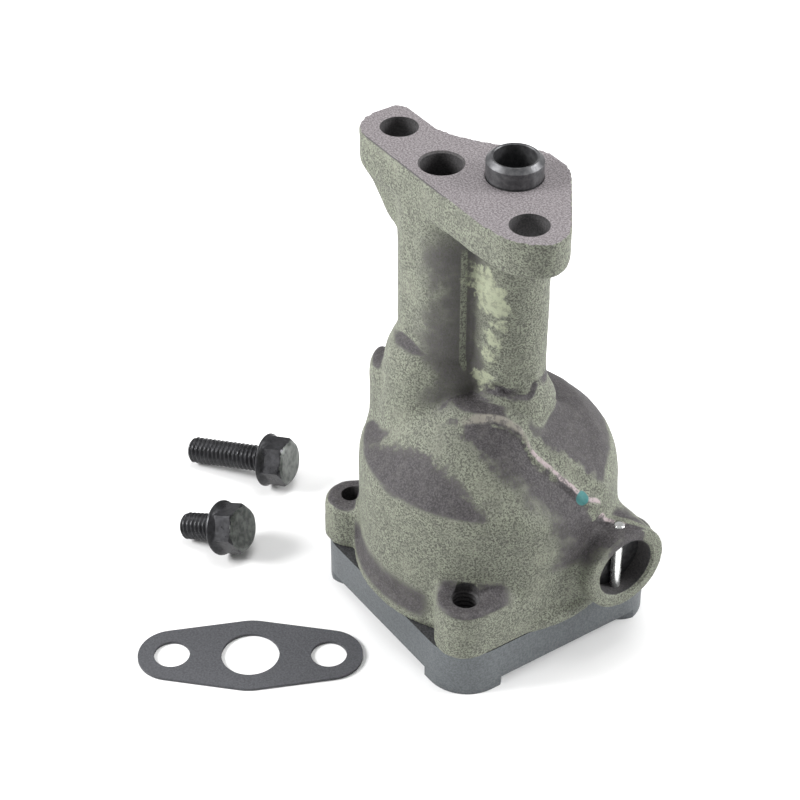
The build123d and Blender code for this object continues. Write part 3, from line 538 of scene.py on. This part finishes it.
def cast_iron():
    """Green-grey sand casting, with painted shade darkening it in zones; the zones' numbers are in mm."""
    p = Paint("cast_iron")
    speck = p.noise(2000, 2, 0.75)
    mottle = p.noise(420, 4, 0.65)
    patch = p.noise(120, 3, 0.6)
    light = p.mix(p.ramp(speck, 0.40, 0.60), (0.070, 0.070, 0.058), (0.238, 0.258, 0.195))
    light = p.mix(p.ramp(mottle, 0.42, 0.66, 0, 0.45), light, (0.098, 0.100, 0.082))
    light = p.mix(p.ramp(patch, 0.5, 0.75, 0, 0.3), light, (0.27, 0.28, 0.22))
    # A darker copy of the casting's colour, used for the painted shade
    dark = p.mix(p.ramp(speck, 0.38, 0.66), (0.028, 0.025, 0.027), (0.082, 0.075, 0.079))
    dark = p.mix(p.ramp(mottle, 0.45, 0.7, 0, 0.35), dark, (0.11, 0.104, 0.10))

    # Painted shade where light falls weakly: the flat tops, the near and far facets, the shelf, the valley
    # between the columns, the bowl's foot and the front lug's hollow
    up, high = p.up(), p.line((0, 0, 1), 0)
    side = p.line((1, 0, 0), 0)
    across = p.line((RIDGE_TURN[1], -RIDGE_TURN[0], 0),
                    RIDGE_AT[0] * RIDGE_TURN[1] - RIDGE_AT[1] * RIDGE_TURN[0])
    stray = p.math("ADD", p.ramp(patch, 0.25, 0.75, -2.2, 2.2), p.ramp(mottle, 0.3, 0.7, -0.8, 0.8))
    along = p.line((*RIDGE_TURN, 0), RIDGE_AT[0] * RIDGE_TURN[0] + RIDGE_AT[1] * RIDGE_TURN[1])
    bend = p.math("SUBTRACT", p.math("MULTIPLY", p.band(along, *BEND_SPAN), BEND_OUT), BEND_BACK)
    crest = p.math("SUBTRACT", across, bend)
    loose = p.math("ADD", crest, stray)
    tilt = p.math("ADD", up, p.ramp(patch, 0.3, 0.7, -0.06, 0.06))
    bowl = p.reach((*BODY, 0), flat=True)
    ledge = p.math("ADD", p.line((0.22, -1, 0), 29.2), p.ramp(mottle, 0.3, 0.7, -1, 1))
    strip = p.all(p.band(ledge, -10.5, -5, -1.5, 1), p.ramp(side, 16, 23, 1, 0))
    cone = p.all(p.most(strip, p.all(p.ramp(side, -4, 4, 1, 0), p.ramp(ledge, -1.5, 1, 1, 0))),
                 p.band(high, 48, 54, 96, 100))
    clear = p.ramp(cone, 0, 1, 1, 0.12)
    flats = p.all(p.ramp(tilt, 0.66, 0.95), clear)
    low = p.most(p.ramp(up, 0.22, 0.45), p.ramp(side, 25, 29))
    facet = p.all(p.band(loose, -0.6, 0.8, 4, 14), low, p.band(high, 30, 36, 72, 82), p.ramp(side, -10, 2),
                  clear)
    shelf = p.all(p.ramp(ledge, -2.2, 1.8), p.ramp(bowl, 33.8, 35.2, 1, 0), p.band(high, 51, 53.5, 66, 72))
    far = p.all(p.ramp(loose, -6.5, -3.5, 0.9, 0), p.ramp(up, 0.45, 0.68), p.ramp(high, 48, 52))
    # Painted light: a band beside the ridge is kept clear of the painted shade
    beside = p.all(p.band(crest, -3.6, -2.4, -0.8, -0.2), p.ramp(side, 8, 18))
    # Painted shade in the valley between the outlet and drive columns
    shade = p.math("ADD", p.reach((-4.5, -13.5, 0), flat=True), p.ramp(patch, 0.25, 0.75, -4, 4))
    gloom = p.all(p.ramp(shade, 2, 13, 0.62, 0), p.band(high, 66, 76, 116, 130))
    # Painted shade low on the bowl's wall, by the lugs
    foot = p.all(p.band(bowl, 34.4, 35.2, 36.4, 37.4), p.band(high, 15.5, 18, 22, 28),
                 p.ramp(side, 11, 16, 0.85, 0))
    # Painted shade in the front lug's hollow, on its upward faces
    hollow = p.all(p.ramp(p.reach((LUGS[3][0] + 1, LUGS[3][1] + 2, 29)), 7, 12, 1, 0),
                   p.ramp(up, 0.1, 0.45))
    skin_and_painted_shade = p.all(p.most(flats, facet, shelf, far, gloom, foot, hollow), p.ramp(beside, 0, 1, 1, 0.12))
    # Painted highlight: the rib's face is kept clear of the painted shade
    rib = p.all(p.ramp(p.reach((-2.4, -12.9, 0), flat=True), 0.7, 1.3, 1, 0), p.band(high, 75, 77, 116, 120))
    skin_and_painted_shade = p.all(skin_and_painted_shade, p.ramp(rib, 0, 1, 1, 0))
    skin_and_painted_shade = p.ramp(p.math("ADD", skin_and_painted_shade, p.ramp(speck, 0.3, 0.7, -0.36, 0.36)), 0.15, 0.85)
    # Painted shadow: a dark line along the cold fold round the drive column's foot
    groove = p.all(p.band(high, 75.7, 76.9, 78.3, 79.3), p.ramp(p.reach((0, 0, 0), flat=True), 13, 15, 1, 0),
                   p.band(side, 2, 5, 9, 11))
    # The darker copy goes where the painted shade and the groove's painted shadow fall
    colour = p.mix(p.most(skin_and_painted_shade, groove), light, dark)

    # Flash line, pale residue on the drive column, the inspector's dot
    worn = p.ramp(p.noise(700, 3, 0.7), 0.42, 0.52)
    flash = p.all(p.band(crest, -0.85, -0.35, 0.35, 0.85), p.band(side, 17, 20, 34, 35.5),
                  p.ramp(up, 0.2, 0.4), p.ramp(worn, 0, 1, 0.35, 1))
    colour = p.mix(flash, colour, FLASH_COLOUR)
    old = p.all(p.band(crest, -1.2, -0.5, 0.5, 1.2), p.band(side, 4, 8, 16, 19),
                p.band(high, 50, 56, 76, 79), p.ramp(worn, 0, 1, 0.4, 1))
    colour = p.mix(p.math("MULTIPLY", old, 0.8), colour, WORN_COLOUR)
    for place, spread in RESIDUE:
        away = p.math("ADD", p.reach(place), p.ramp(mottle, 0.3, 0.7, -1.6, 1.6))
        pale = p.all(p.ramp(away, spread - 1.2, spread + 0.6, 0.9, 0), p.ramp(worn, 0, 1, 0.45, 1))
        colour = p.mix(pale, colour, RESIDUE_COLOUR)
    dot = p.ramp(p.reach(PAINT_DOT), PAINT_DOT_R, PAINT_DOT_R + 0.3, 1, 0)
    colour = p.mix(dot, colour, DOT_COLOUR)

    face = p.math("MULTIPLY", p.ramp(up, 0.93, 0.99), p.ramp(high, 136, 136.7))
    top = p.mix(p.ramp(speck, 0.38, 0.62), (0.120, 0.105, 0.112), (0.275, 0.255, 0.262))
    colour = p.mix(face, colour, top)

    # Machined bores, with painted shade inside the holes
    lows = [(lug, SCREW_HOLE_R) for lug in LUGS[:3]] + [(LUGS[3], TAP_CREST_R)]
    highs = [(hole, BOLT_HOLE_R) for hole in BOLT_HOLES] + [(OUTLET, OUTLET_R)]
    in_lug, in_flange = [
        p.most(*[p.ramp(p.reach((*spot, 0), flat=True), r + 0.04, r + 0.14, 1, 0) for spot, r in holes])
        for holes in (lows, highs)
    ]
    bore = p.most(p.all(in_lug, p.ramp(high, 31, 32, 1, 0)), p.all(in_flange, p.ramp(high, 110, 111)))
    shape = p.add("ShaderNodeCombineXYZ")
    p.join(p.line((0, 1, 0), RELIEF[0]), shape.inputs["X"])
    p.join(p.line((0, 0, 1), RELIEF[1]), shape.inputs["Y"])
    off_axis = p.add("ShaderNodeVectorMath", operation="LENGTH")
    p.join(shape.outputs["Vector"], off_axis.inputs[0])
    valve = p.all(p.ramp(off_axis.outputs["Value"], RELIEF_R + 0.04, RELIEF_R + 0.14, 1, 0),
                  p.ramp(side, 18, 19))
    bore = p.most(bore, valve)
    oiled = p.mix(p.ramp(speck, 0.3, 0.7), (0.035, 0.033, 0.034), (0.075, 0.072, 0.074))
    colour = p.mix(bore, colour, oiled)
    grit = p.bump(p.noise(1500, 4, 0.7), 0.0002, 0.8)
    rough = p.mix(face, (0.68, 0.68, 0.68), (0.42, 0.42, 0.42))
    return p.end(colour, rough, 0.12, grit)


def dark_cover():
    p = Paint("dark_cover")
    speck = p.noise(1900, 3, 0.6)
    side = p.mix(p.ramp(speck, 0.3, 0.7), (0.075, 0.083, 0.088), (0.125, 0.137, 0.145))
    top = p.mix(p.ramp(speck, 0.35, 0.65), (0.03, 0.03, 0.033), (0.07, 0.07, 0.075))
    # Painted shade: the cover's upward faces take a darker copy of its colour than its sides
    colour = p.mix(p.ramp(p.up(), 0.5, 0.8), side, top)
    return p.end(colour, 0.5, 0.3, p.bump(p.noise(900, 3, 0.6), 0.0001, 0.6))


def steel(name, dark, light, roughness=0.35, metallic=0.9, scale=700):
    p = Paint(name)
    colour = p.mix(p.ramp(p.noise(scale, 3, 0.6), 0.3, 0.7), dark, light)
    rough = p.ramp(p.noise(260, 3, 0.6), 0.3, 0.7, roughness - 0.07, roughness + 0.08)
    return p.end(colour, rough, metallic, p.bump(p.noise(1600, 2, 0.5), 0.00004, 0.5))


def gasket_sheet():
    p = Paint("gasket_sheet")
    fibre = p.noise(1800, 4, 0.75)
    colour = p.mix(p.ramp(fibre, 0.3, 0.7), (0.045, 0.046, 0.052), (0.085, 0.087, 0.096))
    return p.end(colour, 0.75, 0.0, p.bump(fibre, 0.00008, 0.6))


# ---------------------------------------------------------------- dress the frame
paints = {
    "cast_iron": cast_iron(),
    "dark_cover": dark_cover(),
    "sintered": steel("sintered", (0.25, 0.25, 0.26), (0.42, 0.42, 0.43), 0.42),
    "ground": steel("ground", (0.35, 0.35, 0.36), (0.55, 0.55, 0.56), 0.28),
    "bright": steel("bright", (0.72, 0.73, 0.72), (0.88, 0.89, 0.88), 0.25),
    "oiled": steel("oiled", (0.03, 0.03, 0.032), (0.07, 0.07, 0.072), 0.4, 0.6),
    "black": steel("black", (0.018, 0.018, 0.02), (0.04, 0.04, 0.044), 0.33, 0.5),
    "gasket_sheet": gasket_sheet(),
    "dark_steel": steel("dark_steel", (0.08, 0.08, 0.085), (0.14, 0.14, 0.145), 0.42, 0.7),
    "worn_black": steel("worn_black", (0.05, 0.055, 0.05), (0.14, 0.15, 0.14), 0.45, 0.4, 500),
}
FINISH = {
    "housing": "cast_iron", "cover": "dark_cover", "outer_rotor": "sintered", "inner_rotor": "sintered",
    "drive_shaft": "ground", "pilot_sleeve": "dark_steel", "relief_valve": "ground",
    "relief_spring": "ground", "relief_cap": "oiled", "retaining_pin": "bright",
    "cover_screw_left": "black", "cover_screw_back": "black", "cover_screw_right": "black",
    "pickup_gasket": "gasket_sheet", "pickup_bolt_long": "black", "pickup_bolt_short": "black",
}
for node, paint in FINISH.items():
    mesh = nodes[node].data
    mesh.materials.clear()
    mesh.materials.append(paints[paint])

housing = raw_casting()
machine(housing)
housing.name = "cast_housing"
housing.data.materials.clear()
housing.data.materials.append(paints["cast_iron"])
crease(housing, 38)
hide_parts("housing")
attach(housing, "pump_body")

# ---------------------------------------------------------------- loose pieces beside the pump
BOLT_R, BOLT_CORE_R, BOLT_FLANGE_R, BOLT_HEX, BOLT_HEAD = 3.95, 3.4, 8.0, 12.7, 8.3
HEX_TURN = math.radians(25)
# Edge of the bolts' flange: height over its seat and radius
FLANGE_RIM = ((0, 7.3), (0.2, 7.75), (0.5, 8.0), (0.9, 7.95), (1.15, 7.7), (2.5, 6.3), (9, 6.3))
LONG_TIP, LONG_TURN, LONG_LENGTH = (-98.3, -43.9), 32.8, 25.4
SHORT_TIP, SHORT_TURN, SHORT_LENGTH = (-68.9, -63.2), 29.5, 12.7


def flanged_bolt(name, node, body, tip, turn, length):
    """Flanged hex bolt with a real thread, lying on its flange edge and its tip."""
    lean, turn = math.atan2(BOLT_FLANGE_R - BOLT_R, length), math.radians(turn)
    along = Vector((math.cos(turn) * math.cos(lean), math.sin(turn) * math.cos(lean), math.sin(lean)))
    across = Vector((-math.sin(turn), math.cos(turn), 0))
    place = Matrix((across, along.cross(across), along)).transposed().to_4x4()
    place.translation = (tip[0] * MM, tip[1] * MM, level(BOLT_R * math.cos(lean)))

    def reach(height, angle):
        if height < length:
            return min(thread(height, angle, BOLT_CORE_R, BOLT_R), 3.0 + height)
        rise = height - length
        corner = (angle - HEX_TURN + math.pi / 6) % (math.pi / 3) - math.pi / 6
        hexagon = BOLT_HEX / 2 / math.cos(corner)
        top = min(hexagon, 5.6 + 1.5 * (BOLT_HEAD - rise), 5.6 + 3 * math.sqrt(max(BOLT_HEAD - rise, 0)))
        flange = float(np.interp(rise, *zip(*FLANGE_RIM)))
        return max(top, flange) if rise < 3 else top

    rings = list(np.arange(0, length - 0.01, PITCH / 12)) + [length - 0.01]
    rings += [length + h for h in (0, 0.1, 0.2, 0.35, 0.5, 0.7, 0.9, 1.0, 1.15, 1.5, 2.0, 2.5, 3.2)]
    rings += [length + BOLT_HEAD - h for h in (1.4, 1.1, 0.9, 0.7, 0.5, 0.35, 0.2, 0.1, 0.04, 0)]
    bolt = turned(name, rings, reach, place)
    bolt.data.materials.append(paints["black"])
    bolt.data.materials.append(paints["worn_black"])
    for face in bolt.data.polygons:
        if (face.center - place.translation).dot(along) > (length + BOLT_HEAD - 0.6) * MM:
            face.material_index = 1
    crease(bolt, 32)
    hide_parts(node)
    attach(bolt, body)


flanged_bolt("threaded_bolt_long", "pickup_bolt_long", "long_bolt", LONG_TIP, LONG_TURN, LONG_LENGTH)
flanged_bolt("threaded_bolt_short", "pickup_bolt_short", "short_bolt", SHORT_TIP, SHORT_TURN, SHORT_LENGTH)

GASKET = (-15.2, -73.8)
GASKET_TURN = 55.8
GASKET_THICKNESS = 0.8
GASKET_LOBE_R = 9.4
GASKET_CENTRE_R = 13.35
GASKET_INLET_R = 8.0
GASKET_BOLT_R = 4.95


def lay_gasket():
    """Die-cut gasket: two lobes and a wider middle joined by straight edges, with three holes."""
    turn = math.radians(GASKET_TURN)
    reach = max(
        (v.co.x / MM - GASKET[0]) * math.cos(turn) + (v.co.y / MM - GASKET[1]) * math.sin(turn)
        for v in nodes["pickup_gasket"].data.vertices
    )
    spacing = reach - GASKET_LOBE_R
    lean = math.degrees(math.acos((GASKET_CENTRE_R - GASKET_LOBE_R) / spacing))
    outline = []
    arcs = (
        (spacing, GASKET_LOBE_R, -lean, lean), (0, GASKET_CENTRE_R, lean, 180 - lean),
        (-spacing, GASKET_LOBE_R, 180 - lean, 180 + lean), (0, GASKET_CENTRE_R, 180 + lean, 360 - lean),
    )
    for place, r, start, end in arcs:
        for i in range(25):
            a = math.radians(start + (end - start) * i / 24)
            u, v = place + r * math.cos(a), r * math.sin(a)
            outline.append((GASKET[0] + u * math.cos(turn) - v * math.sin(turn),
                            GASKET[1] + u * math.sin(turn) + v * math.cos(turn)))
    sheet = prism("die_cut_gasket", outline, 0, GASKET_THICKNESS)
    cutters = [rod("inlet", (*GASKET, -1), (*GASKET, 2), GASKET_INLET_R)]
    for way in (-spacing, spacing):
        spot = (GASKET[0] + way * math.cos(turn), GASKET[1] + way * math.sin(turn))
        cutters.append(rod("bolt", (*spot, -1), (*spot, 2), GASKET_BOLT_R))
    cut(sheet, cutters)
    sheet.data.materials.clear()
    sheet.data.materials.append(paints["gasket_sheet"])
    crease(sheet, 40)
    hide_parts("pickup_gasket")
    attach(sheet, "gasket")


lay_gasket()

# ---------------------------------------------------------------- stage, light and camera
FLOOR_GAP = 0.0001
bm = bmesh.new()
bmesh.ops.create_grid(bm, x_segments=1, y_segments=1, size=6.0)
mesh = bpy.data.meshes.new("floor")
bm.to_mesh(mesh)
bm.free()
floor = put("floor", mesh)
floor.location.z = FLOOR_Z - FLOOR_GAP
p = Paint("pale_floor")
floor.data.materials.append(p.end(p.mix(p.noise(3, 2), (0.90, 0.90, 0.90), (0.92, 0.92, 0.92)), 0.9, 0.0))

WORLD_STRENGTH = 0.36
world = bpy.data.worlds.new("studio")
bpy.context.scene.world = world
world.use_nodes = True
world.node_tree.nodes["Background"].inputs["Color"].default_value = (1, 1, 1, 1)
world.node_tree.nodes["Background"].inputs["Strength"].default_value = WORLD_STRENGTH


def softbox(name, position, target, size, power):
    light = bpy.data.lights.new(name, "AREA")
    light.shape = "SQUARE"
    light.size = size
    light.energy = power
    obj = bpy.data.objects.new(name, light)
    bpy.context.scene.collection.objects.link(obj)
    obj.location = position
    obj.rotation_euler = (Vector(target) - Vector(position)).to_track_quat("-Z", "Y").to_euler()
    return obj


middle = (-0.003, -0.003, -0.07)
softbox("left", (-0.42, -0.72, 0.40), middle, 0.4, 12)
softbox("right", (0.48, 0.72, 0.35), middle, 0.4, 10)
softbox("top", (-0.1, 0.2, 0.9), middle, 0.6, 6)

CAMERA_AT = Vector((0.3678, -0.2850, 0.2900))
CAMERA_ALONG = Vector((-0.653, 0.445, -0.613))
camera_data = bpy.data.cameras.new("camera")
camera_data.lens = 99.0
camera_data.sensor_width = 36.0
camera_data.clip_start = 0.01
camera = bpy.data.objects.new("camera", camera_data)
bpy.context.scene.collection.objects.link(camera)
camera.location = CAMERA_AT
camera.rotation_euler = CAMERA_ALONG.to_track_quat("-Z", "Y").to_euler()
bpy.context.scene.camera = camera

bpy.context.scene.view_settings.view_transform = "Standard"
